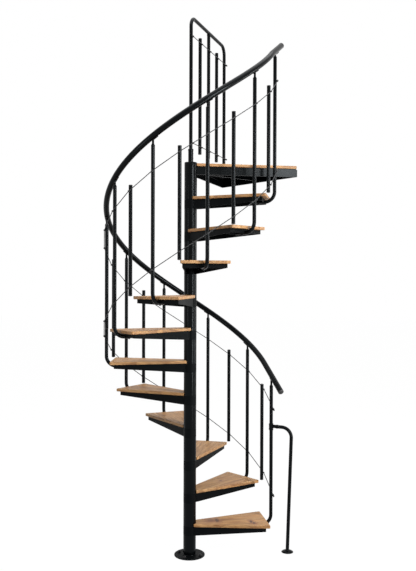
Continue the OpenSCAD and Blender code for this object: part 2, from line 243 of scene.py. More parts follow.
def end_rings(sides, capped=True):
    """Closes both ends of the walls, points the faces outwards and leaves edit mode."""
    piece = bpy.context.object
    if capped:
        bpy.ops.mesh.edge_face_add()
        bpy.ops.mesh.select_all(action="DESELECT")
        mesh = bmesh.from_edit_mesh(piece.data)
        mesh.verts.ensure_lookup_table()
        for v in mesh.verts[:sides]:
            v.select_set(True)
        mesh.select_flush_mode()
        bpy.ops.mesh.edge_face_add()
    bpy.ops.mesh.select_all(action="SELECT")
    bpy.ops.mesh.remove_doubles(threshold=1e-6)
    bpy.ops.mesh.normals_make_consistent(inside=False)
    bpy.ops.object.mode_set(mode="OBJECT")
    return piece


def turned(profile, sides=32, bored=False):
    """A piece turned about Z: a ring is pushed and resized from each (radius, height) to the
    next. A bored profile comes back to its start and leaves a hole down the middle."""
    radius, height = profile[0]
    start_ring(radius, sides, (0, 0, height), UP)
    for r, z in profile[1:] + (profile[:1] if bored else []):
        push((0, 0, z - height))
        resize((r / radius, r / radius, 1), (0, 0, z))
        radius, height = r, z
    return end_rings(sides, capped=not bored)


def tube(radius, start, heading, moves, sides=TUBE_SIDES):
    """A bent tube: a ring runs straight for a length, or swings round a bend towards a side."""
    at, heading = Vector(start), Vector(heading).normalized()
    start_ring(radius, sides, at, heading)
    for move in moves:
        if move[0] == "run":
            push(heading * move[1])
            at = at + heading * move[1]
        else:
            _, bend, side = move
            side = Vector(side).normalized()
            centre = at + side * bend
            axis = heading.cross(side)
            swing(math.pi / 2, centre, axis, BEND_STEPS)
            at, heading = centre + heading * bend, side
    return end_rings(sides)


def finish_piece(piece, name, material, flat=False):
    """Names a piece, gives it its finish and lets it ride on the stair. On a flat piece the
    shading of the wide faces stays flat up to their rounded edges."""
    only(piece)
    piece.name = name
    piece.data.name = name
    piece.data.materials.clear()
    piece.data.materials.append(material)
    bpy.ops.object.shade_smooth_by_angle(angle=SMOOTH_ANGLE)
    if flat:
        apply_modifier(piece, "WEIGHTED_NORMAL", keep_sharp=True)
    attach(piece, "root")
    return piece


def apply_modifier(piece, kind, **settings):
    only(piece)
    modifier = piece.modifiers.new(kind.title(), kind)
    for key, value in settings.items():
        setattr(modifier, key, value)
    bpy.ops.object.modifier_apply(modifier=modifier.name)


def copy_of(piece, matrix):
    """A copy with its own mesh, put in its place by the mesh and not by the object."""
    twin = piece.copy()
    twin.data = piece.data.copy()
    twin.data.transform(matrix)
    bpy.context.collection.objects.link(twin)
    return twin


def joined(pieces):
    only(pieces[0])
    for piece in pieces:
        piece.select_set(True)
    if len(pieces) > 1:
        bpy.ops.object.join()
    return bpy.context.object


def repeated(piece, matrices):
    """One mesh that holds a copy of the piece at each place."""
    row = joined([copy_of(piece, m) for m in matrices])
    bpy.data.objects.remove(piece)
    return row


def node_copy(node, edge, segments=2, sharp=40):
    """A copy of a node's mesh, merged, with its flat faces whole and its edges rounded."""
    piece = frame["nodes"][node].copy()
    piece.data = piece.data.copy()
    piece.parent = None
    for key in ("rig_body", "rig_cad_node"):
        if key in piece:
            del piece[key]
    bpy.context.collection.objects.link(piece)
    with editing(piece):
        bpy.ops.mesh.select_all(action="SELECT")
        bpy.ops.mesh.remove_doubles(threshold=1e-5)
        bpy.ops.mesh.dissolve_limited(angle_limit=math.radians(0.5))
        bpy.ops.mesh.normals_make_consistent(inside=False)
    apply_modifier(piece, "BEVEL", width=edge, segments=segments, limit_method="ANGLE",
                   angle_limit=math.radians(sharp), use_clamp_overlap=True)
    return piece


class Finish:
    """A material and short ways to add and link its nodes."""

    def __init__(self, name):
        self.material = bpy.data.materials.new(name)
        self.material.use_nodes = True
        self.tree = self.material.node_tree
        self.shader = self.tree.nodes["Principled BSDF"]

    def node(self, kind, inputs=None, **settings):
        node = self.tree.nodes.new(kind)
        for key, value in settings.items():
            setattr(node, key, value)
        for key, value in (inputs or {}).items():
            self.give(node.inputs[key], value)
        return node

    def give(self, socket, value):
        if isinstance(value, bpy.types.NodeSocket):
            self.tree.links.new(value, socket)
        else:
            socket.default_value = value

    def stretched(self, vector, scale):
        return self.node("ShaderNodeMapping", {"Vector": vector, "Scale": scale}).outputs[0]

    def noise(self, vector, scale, detail=3.0, roughness=0.5):
        return self.node("ShaderNodeTexNoise", {
            "Vector": vector, "Scale": scale, "Detail": detail,
            "Roughness": roughness}).outputs["Fac"]

    def math(self, operation, a, b=0.0, c=None):
        node = self.node("ShaderNodeMath", {0: a, 1: b}, operation=operation)
        if c is not None:
            self.give(node.inputs[2], c)
        return node.outputs[0]

    def ranged(self, value, low, high, to_low=0.0, to_high=1.0):
        return self.node("ShaderNodeMapRange", {
            "Value": value, "From Min": low, "From Max": high, "To Min": to_low,
            "To Max": to_high}, interpolation_type="SMOOTHSTEP").outputs[0]

    def vector(self, operation, a, b=(0, 0, 0)):
        return self.node("ShaderNodeVectorMath", {0: a, 1: b}, operation=operation).outputs[0]

    def mixed(self, share, a, b):
        node = self.node("ShaderNodeMix", data_type="RGBA")
        self.give(node.inputs["Factor"], share)
        self.give(node.inputs["A"], a)
        self.give(node.inputs["B"], b)
        return node.outputs["Result"]

    def bump(self, height, distance, strength):
        return self.node("ShaderNodeBump", {
            "Height": height, "Distance": distance, "Strength": strength}).outputs[0]

    def set(self, **values):
        for key, value in values.items():
            self.give(self.shader.inputs[key.replace("_", " ")], value)
        return self.material


def black_coat(name, smooth, rough, mirror, peel_strength):
    """Black powder coat: fine orange peel, with a slow drift in its gloss."""
    f = Finish(name)
    place = f.node("ShaderNodeTexCoord").outputs["Object"]
    peel = f.noise(place, 420.0, detail=2.0)
    drift = f.noise(place, 3.5, detail=2.0)
    colour = f.mixed(f.ranged(drift, 0.3, 0.7), (0.0008, 0.0011, 0.0014, 1),
                     (0.0015, 0.0019, 0.0023, 1))
    f.set(Base_Color=colour, Roughness=f.ranged(drift, 0.3, 0.7, smooth, rough),
          Normal=f.bump(peel, 0.0001, peel_strength))
    f.shader.inputs["Specular IOR Level"].default_value = mirror
    f.shader.inputs["Specular Tint"].default_value = (0.92, 1.0, 1.04, 1)
    return f.material


def powder_coat():
    """The satin coat of the tubes and the column."""
    return black_coat("powder_coat", 0.19, 0.25, 0.09, 0.03)


def matt_coat():
    """The duller coat of the folded sheets and the floor flange."""
    return black_coat("matt_coat", 0.46, 0.56, 0.06, 0.12)


def dark_screws():
    """Blackened zinc on bolts and screws, a little worn to metal."""
    f = Finish("dark_screws")
    place = f.node("ShaderNodeTexCoord").outputs["Object"]
    wear = f.noise(place, 260.0, detail=4.0)
    colour = f.mixed(f.ranged(wear, 0.5, 0.72), (0.022, 0.022, 0.024, 1), (0.085, 0.083, 0.080, 1))
    f.set(Base_Color=colour, Roughness=f.ranged(wear, 0.3, 0.7, 0.34, 0.52), Metallic=0.8,
          Normal=f.bump(wear, 0.0001, 0.4))
    return f.material


def black_moulding():
    """Matt black moulded plastic with a fine spark texture."""
    f = Finish("black_moulding")
    place = f.node("ShaderNodeTexCoord").outputs["Object"]
    spark = f.noise(place, 1500.0, detail=1.0)
    colour = f.mixed(spark, (0.008, 0.008, 0.008, 1), (0.013, 0.013, 0.014, 1))
    f.set(Base_Color=colour, Roughness=f.ranged(spark, 0.3, 0.7, 0.46, 0.58),
          Normal=f.bump(spark, 0.00006, 0.5))
    return f.material


def stranded_wire():
    """Stainless rope: bright strands with dark lines where they lie against each other."""
    f = Finish("stranded_wire")
    place = f.node("ShaderNodeTexCoord").outputs["Object"]
    drawn = f.noise(place, 700.0, detail=3.0)
    colour = f.mixed(drawn, (0.030, 0.031, 0.033, 1), (0.060, 0.061, 0.063, 1))
    f.set(Base_Color=colour, Roughness=f.ranged(drawn, 0.3, 0.7, 0.28, 0.45), Metallic=1.0,
          Normal=f.bump(drawn, 0.00005, 0.4))
    return f.material


KNOTS = (  # tread, place along and across it, half its length and width, how dark its heart is
    (1, 0.199, 0.014, 0.0170, 0.0420, 1.0),
    (1, 0.155, 0.022, 0.0280, 0.0320, 0.50),
    (1, 0.434, -0.052, 0.0130, 0.0280, 1.0),
    (1, 0.448, -0.086, 0.0120, 0.0220, 1.0),
    (2, 0.330, 0.020, 0.0130, 0.0090, 0.8),
    (3, 0.240, 0.050, 0.0110, 0.0080, 0.8),
    (4, 0.410, 0.060, 0.0120, 0.0080, 0.8),
    (6, 0.250, -0.050, 0.0130, 0.0090, 0.8),
    (9, 0.380, 0.040, 0.0120, 0.0080, 0.8),
)
BOARD_STEP = Vector((1.7, 0.83, 0.31))
STAVE_W = 0.058


def oak_wood():
    """Clear-lacquered rustic oak, its grain along each board: growth rings, pores and knots.
    The grain attribute holds each board's own coordinates, stepped on from board to board."""
    f = Finish("oak_wood")
    grain = f.node("ShaderNodeAttribute", attribute_name="grain").outputs["Vector"]
    # staves glued side by side, each cut from another place in the log
    parts = f.node("ShaderNodeSeparateXYZ", {"Vector": grain}).outputs
    stave = f.math("FLOOR", f.math("DIVIDE", parts["Y"], STAVE_W))
    tone = f.node("ShaderNodeTexWhiteNoise", {"W": stave}, noise_dimensions="1D").outputs
    wood = f.vector("ADD", grain, f.vector("MULTIPLY", tone["Color"], (0.9, 0.35, 0.35)))
    # knots bend the grain round them
    ragged = f.noise(f.stretched(grain, (90.0, 90.0, 90.0)), 1.0, detail=2.0)
    ragged = f.ranged(ragged, 0.3, 0.7, -0.25, 0.25)
    knot_pull = 0.0
    knot_core = 0.0
    for tread, along, across, half_l, half_w, heart in KNOTS:
        centre = Vector((along, across, -0.004)) + BOARD_STEP * tread
        squeezed = f.vector("MULTIPLY", f.vector("SUBTRACT", grain, tuple(centre)),
                            (1 / half_l, 1 / half_w, 12.0))
        far = f.node("ShaderNodeVectorMath", {0: squeezed}, operation="LENGTH").outputs["Value"]
        core = f.ranged(f.math("ADD", far, ragged), 1.25, 0.45, 0.0, heart)
        knot_core = f.math("MAXIMUM", knot_core, core)
        knot_pull = f.math("MAXIMUM", knot_pull, f.ranged(far, 2.9, 0.8))
    pulled = f.node("ShaderNodeCombineXYZ", {"Y": f.math("MULTIPLY", knot_pull, 0.022)}).outputs[0]
    wood = f.vector("ADD", wood, pulled)
    # a slow swirl bends what runs along the grain
    slow = f.noise(f.stretched(wood, (1.3, 9.0, 9.0)), 1.0, detail=2.0)
    swirl = f.node("ShaderNodeCombineXYZ", {
        "Y": f.math("MULTIPLY", slow, 0.11), "Z": f.math("MULTIPLY", slow, 0.07)}).outputs[0]
    bent = f.vector("ADD", wood, swirl)
    rings = f.node("ShaderNodeTexWave", {
        "Vector": f.stretched(bent, (0.25, 1.0, 0.8)), "Scale": 26.0, "Distortion": 2.6,
        "Detail": 3.0, "Detail Scale": 1.4}, wave_type="BANDS", bands_direction="Y",
        wave_profile="SAW").outputs["Fac"]
    streaks = f.noise(f.stretched(bent, (7.0, 260.0, 260.0)), 1.0, detail=4.0, roughness=0.62)
    flames = f.noise(f.stretched(bent, (3.2, 38.0, 38.0)), 1.0, detail=3.0, roughness=0.65)
    lines = f.noise(f.stretched(bent, (5.0, 105.0, 105.0)), 1.0, detail=3.0, roughness=0.6)
    pores = f.noise(f.stretched(bent, (42.0, 1100.0, 1100.0)), 1.0, detail=2.0)
    patches = f.noise(f.stretched(wood, (2.4, 19.0, 19.0)), 1.0, detail=3.0)
    light = (0.580, 0.340, 0.146, 1)
    warm = (0.485, 0.250, 0.092, 1)
    late = (0.232, 0.097, 0.032, 1)
    colour = f.mixed(f.ranged(patches, 0.34, 0.66), light, warm)
    colour = f.mixed(f.math("MULTIPLY", f.ranged(flames, 0.48, 0.62), 0.68), colour, late)
    colour = f.mixed(f.math("MULTIPLY", f.ranged(lines, 0.50, 0.62), 0.62), colour, late)
    colour = f.mixed(f.math("MULTIPLY", f.ranged(rings, 0.35, 1.0), 0.22), colour, late)
    colour = f.mixed(f.math("MULTIPLY", f.ranged(streaks, 0.50, 0.78), 0.40), colour, late)
    colour = f.mixed(f.math("MULTIPLY", f.ranged(pores, 0.62, 0.74), 0.40), colour,
                     (0.170, 0.090, 0.040, 1))
    stave_tone = f.ranged(tone["Value"], 0.0, 1.0, 0.88, 1.10)
    colour = f.node("ShaderNodeVectorMath", {0: colour, "Scale": stave_tone},
                    operation="SCALE").outputs[0]
    colour = f.mixed(f.math("MULTIPLY", knot_pull, 0.62), colour, (0.300, 0.125, 0.060, 1))
    colour = f.mixed(f.math("MULTIPLY", knot_core, 0.90), colour, (0.060, 0.026, 0.013, 1))
    height = f.math("MULTIPLY_ADD", pores, -0.6, f.math("MULTIPLY", streaks, -0.4))
    f.set(Base_Color=colour, Roughness=f.ranged(streaks, 0.3, 0.8, 0.44, 0.60),
          Normal=f.bump(height, 0.0004, 0.35))
    f.shader.inputs["Specular IOR Level"].default_value = 0.45
    return f.material


STEEL = powder_coat()
SHEET_STEEL = matt_coat()
SCREW = dark_screws()
MOULDING = black_moulding()
WIRE = stranded_wire()
OAK = oak_wood()


# ---- small hardware ----
def washer(radius, bore, thickness):
    edge = thickness * 0.25
    return turned([(bore, 0), (radius - edge, 0), (radius, edge), (radius, thickness - edge),
                   (radius - edge, thickness), (bore, thickness)], 24, bored=True)


def hex_head(across, height):
    """A hexagon bolt head with its top corners turned off."""
    corner = across / math.sqrt(3)
    return turned([(corner, 0), (corner, height * 0.82), (corner * 0.90, height)], 6)


def socket_head(radius, height):
    """A button screw head with a hexagon socket sunk in its crown."""
    piece = turned([(radius, 0), (radius, height * 0.30), (radius * 0.86, height * 0.72),
                    (radius * 0.60, height)], 24)
    with editing(piece) as mesh:
        pick_faces(mesh, lambda face: face.normal.z > 0.99
                   and face.calc_center_median().z > height * 0.9)
        bpy.ops.mesh.inset(thickness=radius * 0.12, depth=0)
        bpy.ops.mesh.inset(thickness=radius * 0.02, depth=-height * 0.55)
    return piece


def weld_bead(length, radius=0.0023):
    """A run of weld: a thin round bead with its ripples."""
    ripples = max(4, int(length / 0.0026))
    step = length / ripples
    profile = [(radius * 0.4, 0)]
    for k in range(ripples):
        profile += [(radius, (k + 0.3) * step), (radius * 0.86, (k + 0.85) * step)]
    profile.append((radius * 0.4, length))
    return turned(profile, 10)


def weld_ring(ring_radius, radius=0.0022, sides=64):
    """A fillet of weld all round a tube."""
    deselect()
    bpy.ops.mesh.primitive_torus_add(major_radius=ring_radius, minor_radius=radius,
                                     major_segments=sides, minor_segments=8)
    piece = bpy.context.object
    step = 2 * math.pi / sides
    with editing(piece) as mesh:
        pick_corners(mesh, lambda co: round(math.atan2(co.y, co.x) / step) % 2 == 0)
        resize((1, 1, 0.86), (0, 0, 0))
    return piece


def tube_cap(radius, height):
    """A moulded plug that closes a tube: a thin lip and a low dome."""
    lip = radius + 0.0007
    lip_h = 0.0022
    profile = [(lip - 0.0004, 0), (lip, 0.0005), (lip, 0.0016), (lip - 0.0005, lip_h)]
    for k in range(1, 6):
        turn = math.radians(15 * k)
        profile.append((radius * math.cos(turn), lip_h + (height - lip_h) * math.sin(turn)))
    return turned(profile + [(radius * 0.08, height)], TUBE_SIDES)


# ---- column ----
def make_flange():
    edge = 0.0022
    disc = turned([(FLANGE_R - 0.0008, 0), (FLANGE_R, 0.0008), (FLANGE_R, FLANGE_T - edge),
                   (FLANGE_R - edge * 0.4, FLANGE_T - edge * 0.4), (FLANGE_R - edge, FLANGE_T),
                   (COLUMN_R - 0.002, FLANGE_T)], 128)
    finish_piece(disc, "flange_disc", SHEET_STEEL)
    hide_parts("floor_flange")
    weld = weld_ring(COLUMN_R + 0.0006, 0.0026, 96)
    weld.data.transform(Matrix.Translation((0, 0, FLANGE_T + 0.0012)))
    finish_piece(weld, "flange_weld", STEEL)
    places = [polar(ANCHOR_R, ANCHOR_FIRST + k * 2 * math.pi / ANCHORS, FLANGE_T)
              for k in range(ANCHORS)]
    washer_t = 0.0024
    bolts = repeated(hex_head(0.018, 0.0075),
                     [spot(p + UP * washer_t, 0.7 * k) for k, p in enumerate(places)])
    washers = repeated(washer(0.0120, 0.0066, washer_t), [spot(p) for p in places])
    stubs = repeated(turned([(0.0060, 0), (0.0060, 0.0125), (0.0052, 0.0135)], 24),
                     [spot(p) for p in places])
    finish_piece(joined([bolts, washers, stubs]), "flange_anchors", SCREW)


def make_column():
    """Spacer tubes between the hubs, their ends lightly chamfered."""
    chamfer = 0.0006
    pieces = []
    for i in range(TREADS + 1):
        low = FLANGE_T if i == 0 else level_at(i) - BOARD_T
        high = (FRAME_TOP - FRAME_H if i == TREADS
                else level_at(i + 1) - BOARD_T - HUB_H)
        spacer = turned([(BORE_R, low), (COLUMN_R - chamfer, low), (COLUMN_R, low + chamfer),
                         (COLUMN_R, high - chamfer), (COLUMN_R - chamfer, high),
                         (BORE_R, high)], 96, bored=True)
        pieces.append(spacer)
    column = finish_piece(joined(pieces), "spacer_tubes", STEEL)
    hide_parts("column_spacers")
    pole = frame["nodes"]["centre_pole"]
    pole.data.materials.clear()
    pole.data.materials.append(STEEL)


def make_column_cap():
    """The drum on the landing's hub, and the sleeve that holds the guard's first post."""
    foot = LANDING_Z - BOARD_T
    top = CAP_TOP
    edge = 0.0030
    round_edge = [(COLUMN_R - edge * (1 - math.cos(math.radians(a))),
                   top - edge * (1 - math.sin(math.radians(a)))) for a in (0, 30, 60, 90)]
    drum = turned([(COLUMN_R - 0.0006, foot), (COLUMN_R, foot + 0.0006)] + round_edge
                  + [(SLEEVE_R, top)], 96)
    sleeve_top = top + SLEEVE_H
    bore = TUBE_R + 0.0003
    rim = SLEEVE_R + 0.0012
    sleeve = turned([(bore, top), (SLEEVE_R + edge, top), (SLEEVE_R, top + edge),
                     (SLEEVE_R, sleeve_top - 0.0140), (rim, sleeve_top - 0.0130),
                     (rim, sleeve_top - 0.0012), (SLEEVE_R, sleeve_top),
                     (bore, sleeve_top)], 48, bored=True)
    cap = finish_piece(joined([drum, sleeve]), "column_top", STEEL)
    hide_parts("column_cap")
    right = GUARD_DIR - math.pi / 2
    screws = [facing(polar(SLEEVE_R - 0.0008, right, top + z), polar(1, right, 0))
              for z in (0.030, 0.062)]
    finish_piece(repeated(socket_head(0.0042, 0.0026), screws), "sleeve_screws", SCREW)


# ---- treads ----
def add_grain(piece, board, angle, level):
    """Stores the board's own coordinates, so that the grain runs along it."""
    back = Matrix.Rotation(-angle, 4, "Z") @ Matrix.Translation((0, 0, -level))
    grain = piece.data.attributes.get("grain")
    if grain is None:
        grain = piece.data.attributes.new("grain", "FLOAT_VECTOR", "POINT")
    for vertex, value in zip(piece.data.vertices, grain.data):
        value.vector = back @ vertex.co + BOARD_STEP * board


def step_up(i):
    """The matrix that takes a piece of the lowest step to step i."""
    return spot((0, 0, (i - 1) * RISE), (i - 1) * TURN)


def make_treads():
    master = node_copy("tread_01", 0.0026, segments=3, sharp=50)
    for i in range(1, TREADS + 1):
        tread = copy_of(master, step_up(i))
        add_grain(tread, i, angle_at(i), level_at(i))
        finish_piece(tread, "oak_tread_%02d" % i, OAK, flat=True)
        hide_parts("tread_%02d" % i)
    bpy.data.objects.remove(master)


def make_brackets():
    master = node_copy("tread_bracket_01", 0.0007, segments=2, sharp=35)
    for i in range(1, TREADS + 1):
        bracket = copy_of(master, step_up(i))
        finish_piece(bracket, "bracket_%02d" % i, SHEET_STEEL, flat=True)
        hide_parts("tread_bracket_%02d" % i)
    bpy.data.objects.remove(master)


def at_tread(i, x, y, z):
    """A place on tread i, in the tread's own directions, z from its top."""
    return Matrix.Rotation(angle_at(i), 4, "Z") @ Vector((x, y, level_at(i) + z))


def make_bracket_hardware():
    """Screws up through each pan into its board, the bolt under the baluster's foot, welds."""
    plate = -BOARD_T - SHEET_T
    bead_l = 0.056
    screws = []
    bolts = []
    beads = []
    for i in range(1, TREADS + 1):
        bolts.append(facing(at_tread(i, 0.483, 0, FOOT_Z - TUBE_R), -UP))
        for side in (1, -1):
            for x, y in ((0.150, 0.030), (0.485, 0.105), (0.300, 0.066)):
                screws.append(facing(at_tread(i, x, side * y, plate), -UP))
            beads.append(facing(at_tread(i, 0.0300, side * 0.0368, plate - 0.0015 - bead_l), UP))
    finish_piece(repeated(socket_head(0.0060, 0.0034), screws), "tread_screws", SCREW)
    finish_piece(repeated(hex_head(0.013, 0.0053), bolts), "foot_bolts", SCREW)
    finish_piece(repeated(weld_bead(bead_l), beads), "bracket_welds", STEEL)


# ---- balusters ----
def make_long_balusters():
    cap = 0.0065
    rise = LONG_TOP - cap - (FOOT_Z + BEND_R)
    foot = tube(TUBE_R, (FOOT_END_R, 0, FOOT_Z), X_AXIS,
                [("run", BALUSTER_R - BEND_R - FOOT_END_R), ("bend", BEND_R, UP), ("run", rise)])
    knob = tube_cap(TUBE_R, cap)
    knob.data.transform(Matrix.Translation((BALUSTER_R, 0, LONG_TOP - cap)))
    baluster = joined([foot, knob])
    row = repeated(baluster, [spot((0, 0, level_at(i)), angle_at(i))
                              for i in range(1, TREADS + 1)])
    finish_piece(row, "bent_balusters", STEEL)
    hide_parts("long_balusters")


def make_short_balusters():
    cap = 0.0060
    rod = tube(TUBE_R, (0, 0, cap), UP, [("run", SHORT_L - 2 * cap)])
    places = [polar(BALUSTER_R, angle_at(i + 0.5), level_at(i + 0.5) + SHORT_BOTTOM)
              for i in range(1, TREADS)]
    rods = repeated(rod, [spot(p) for p in places])
    finish_piece(rods, "hanging_balusters", STEEL)
    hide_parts("short_balusters")
    ends = [facing(p + UP * (SHORT_L - cap), UP) for p in places]
    ends += [facing(p + UP * cap, -UP) for p in places]
    finish_piece(repeated(tube_cap(TUBE_R, cap), ends), "baluster_caps", MOULDING)


# ---- handrail ----
def rail_helix(t):
    return polar(RAIL_HELIX_R, angle_at(t), level_at(t) + RAIL_H)


def rail_heading(t, slope):
    a = angle_at(t)
    return Vector((-math.sin(a), math.cos(a), slope))


LOW_HEADING = -rail_heading(RAIL_FROM, RAIL_SLOPE)
TOP_HEADING = rail_heading(RAIL_TO, RAIL_TOP_SLOPE)


def rail_centre(t):
    """The handrail's line beside position t, on the helix or on a straight end."""
    if t < RAIL_FROM:
        return rail_helix(RAIL_FROM) + LOW_HEADING * RAIL_HELIX_R * math.tan((RAIL_FROM - t) * TURN)
    if t > RAIL_TO:
        return rail_helix(RAIL_TO) + TOP_HEADING * RAIL_HELIX_R * math.tan((t - RAIL_TO) * TURN)
    return rail_helix(t)


def rail_heading_at(t):
    if t < RAIL_FROM:
        return -LOW_HEADING
    if t > RAIL_TO:
        return TOP_HEADING
    return rail_heading(t, RAIL_SLOPE)


def make_handrail():
    """The helix is screwed from a ring, then its end rings are squared and pushed out straight."""
    lean = math.atan(RAIL_SLOPE)
    start = rail_helix(RAIL_FROM)
    start_ring(RAIL_R, RAIL_SIDES, (0, 0, 0), UP)
    bpy.ops.object.mode_set(mode="OBJECT")
    rail = bpy.context.object
    rail.data.transform(Matrix.Rotation(math.pi / 2, 4, "X"))
    rail.data.transform(Matrix.Diagonal((1, 1, 1 / math.cos(lean), 1)))
    rail.data.transform(Matrix.Translation((RAIL_HELIX_R, 0, start.z)))
    rail.data.transform(Matrix.Rotation(angle_at(RAIL_FROM), 4, "Z"))
    sweep = (RAIL_TO - RAIL_FROM) * TURN
    apply_modifier(rail, "SCREW", angle=sweep, screw_offset=(RAIL_TO - RAIL_FROM) * RISE,
                   steps=RAIL_STEPS, render_steps=RAIL_STEPS, axis="Z")
    ends = ((rail_helix(RAIL_FROM), LOW_HEADING, RAIL_LOW_RUN, angle_at(RAIL_FROM)),
            (rail_helix(RAIL_TO), TOP_HEADING, RAIL_TOP_RUN, angle_at(RAIL_TO)))
    for centre, heading, run, a in ends:
        along = Vector((-math.sin(a), math.cos(a), 0))
        way = heading.normalized()
        end = centre + heading * run
        with editing(rail) as mesh:
            pick_corners(mesh, lambda co: (co - centre).length < 1.4 * RAIL_R
                         and abs((co - centre).dot(along)) < 1e-4)
            push(heading * run)
            mesh = bmesh.from_edit_mesh(rail.data)
            for corner in mesh.verts:
                if corner.select:
                    side = corner.co - end
                    side -= way * side.dot(way)
                    corner.co = end + side.normalized() * RAIL_R
            bmesh.update_edit_mesh(rail.data)
            bpy.ops.mesh.edge_face_add()
    face_outwards(rail)
    finish_piece(rail, "tube_handrail", STEEL)
    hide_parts("handrail")
    lip = RAIL_R + 0.0004
    lip_h = 0.0020
    dome_h = 0.0100
    dome = [(RAIL_R * math.cos(math.radians(a)), lip_h + dome_h * math.sin(math.radians(a)))
            for a in (15, 30, 45, 60, 75, 86)]
    cap = turned([(RAIL_R - 0.0003, 0), (lip, 0.0004), (lip, lip_h)] + dome, RAIL_SIDES)
    places = [facing(c + h * run, h) for c, h, run, _ in ends]
    finish_piece(repeated(cap, places), "rail_end_caps", MOULDING)


def make_saddles():
    """A neck out of each long baluster and a curved plate screwed up against the handrail."""
    inner = RAIL_R + 0.0004
    outer = inner + 0.0040
    half_w = math.radians(30)
    length = 0.046
    pieces = []
    screws = []
    for i in range(1, TREADS + 1):
        centre = rail_centre(i)
        heading = rail_heading_at(i).normalized()
        side = heading.cross(UP).normalized()
        down = side.cross(heading).normalized()
        if down.z > 0:
            down = -down
        place = Matrix.Translation(centre) @ Matrix((side, heading, -down)).transposed().to_4x4()
        plate = curved_plate(inner, outer, half_w, length)
        plate.data.transform(place)
        base = polar(BALUSTER_R, angle_at(i), level_at(i) + LONG_TOP - 0.002)
        aside = (base - centre).dot(side)
        under = math.sqrt(inner ** 2 - aside ** 2) / -down.z
        reach = centre.z - under + 0.0025 - base.z
        neck = turned([(0.0085, 0), (0.0092, 0.0016), (0.0092, 0.0044), (0.0080, 0.0064),
                       (0.0072, 0.0090), (0.0072, reach)], 24)
        neck.data.transform(Matrix.Translation(base))
        pieces += [plate, neck]
        for s in (-1, 1):
            screws.append(facing(centre + heading * s * 0.0165 + down * (outer - 0.0006), down))
    saddles = finish_piece(joined(pieces), "rail_saddles", STEEL)
    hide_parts("handrail_saddles")
    finish_piece(repeated(socket_head(0.0036, 0.0020), screws), "saddle_screws", SCREW)


def curved_plate(inner, outer, half_angle, length):
    """A plate bent round the Y axis below the origin, spun from its cross-section."""
    deselect()
    bpy.ops.mesh.primitive_plane_add(size=1, location=(0, 0, 0))
    plate = bpy.context.object
    thick = outer - inner
    plate.data.transform(Matrix.Diagonal((thick, length, 1, 1)))
    plate.data.transform(Matrix.Translation(((inner + outer) / 2, 0, 0)))
    plate.data.transform(Matrix.Rotation(math.pi / 2 - half_angle, 4, "Y"))
    with editing(plate):
        bpy.ops.mesh.select_all(action="SELECT")
        bpy.ops.mesh.delete(type="ONLY_FACE")
        bpy.ops.mesh.select_all(action="SELECT")
        swing(2 * half_angle, (0, 0, 0), (0, 1, 0), 10)
        bpy.ops.mesh.select_all(action="DESELECT")
        bpy.ops.mesh.select_non_manifold()
        bpy.ops.mesh.edge_face_add()
    face_outwards(plate)
    return plate


# ---- wire ropes ----
def rope_point(i, height):
    return polar(BALUSTER_R + ROPE_OUT, angle_at(i), level_at(i) + height)


def rope_heading(i):
    a = angle_at(i)
    return Vector((-math.sin(a), math.cos(a), ROPE_SLOPE)).normalized()


def straight_rope(length):
    """Strands laid round the rope's middle, screwed from their rings along X."""
    strand = ROPE_R / 3
    rings = []
    for k in range(ROPE_STRANDS):
        turn = 2 * math.pi * k / ROPE_STRANDS
        deselect()
        bpy.ops.mesh.primitive_circle_add(
            vertices=6, radius=strand * 1.04,
            location=(2 * strand * math.cos(turn), 2 * strand * math.sin(turn), 0))
        bpy.ops.object.transform_apply(location=True, rotation=True, scale=True)
        rings.append(bpy.context.object)
    rope = joined(rings)
    rope.data.transform(Matrix.Rotation(math.pi / 2, 4, "Y"))
    turns = length / ROPE_LAY
    steps = int(turns * 10)
    apply_modifier(rope, "SCREW", axis="X", angle=2 * math.pi * turns, screw_offset=length,
                   steps=steps, render_steps=steps)
    deselect()
    return rope


def make_rope(name, node, points):
    """A rope through its points: the straight strands are led along the path."""
    length = sum((b - a).length for a, b in zip(points, points[1:]))
    rope = straight_rope(length)
    path = bpy.data.curves.new(name + "_path", "CURVE")
    path.dimensions = "3D"
    line = path.splines.new("POLY")
    line.points.add(len(points) - 1)
    for point, place in zip(line.points, points):
        point.co = (*place, 1)
    guide = bpy.data.objects.new(name + "_path", path)
    bpy.context.collection.objects.link(guide)
    apply_modifier(rope, "CURVE", object=guide, deform_axis="POS_X")
    bpy.data.objects.remove(guide)
    face_outwards(rope)
    finish_piece(rope, name, WIRE)
    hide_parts(node)


def make_stair_ropes():
    for name, node, height in (("wire_rope_high", "upper_rope", ROPE_HIGH),
                               ("wire_rope_low", "lower_rope", ROPE_LOW)):
        points = [rope_point(1 + k / 2, height) for k in range(2 * TREADS - 1)]
        points[0] = points[0] - rope_heading(1) * ROPE_TAIL
        points[-1] = points[-1] + rope_heading(TREADS) * ROPE_TAIL
        make_rope(name, node, points)


def holder():
    """A small round holder on a baluster, its rope through it and a grub screw in its face."""
    height = 0.0222
    barrel = turned([(0.0050, TUBE_R - 0.0022), (0.0062, TUBE_R + 0.0006),
                     (0.0056, TUBE_R + 0.0016), (0.0056, height - 0.0014),
                     (0.0050, height - 0.0004), (0.0042, height)], 24)
    with editing(barrel) as mesh:
        pick_faces(mesh, lambda face: face.normal.z > 0.99
                   and face.calc_center_median().z > height - 0.0002)
        bpy.ops.mesh.inset(thickness=0.0022, depth=0)
        bpy.ops.mesh.inset(thickness=0.0001, depth=-0.0012)
    return barrel


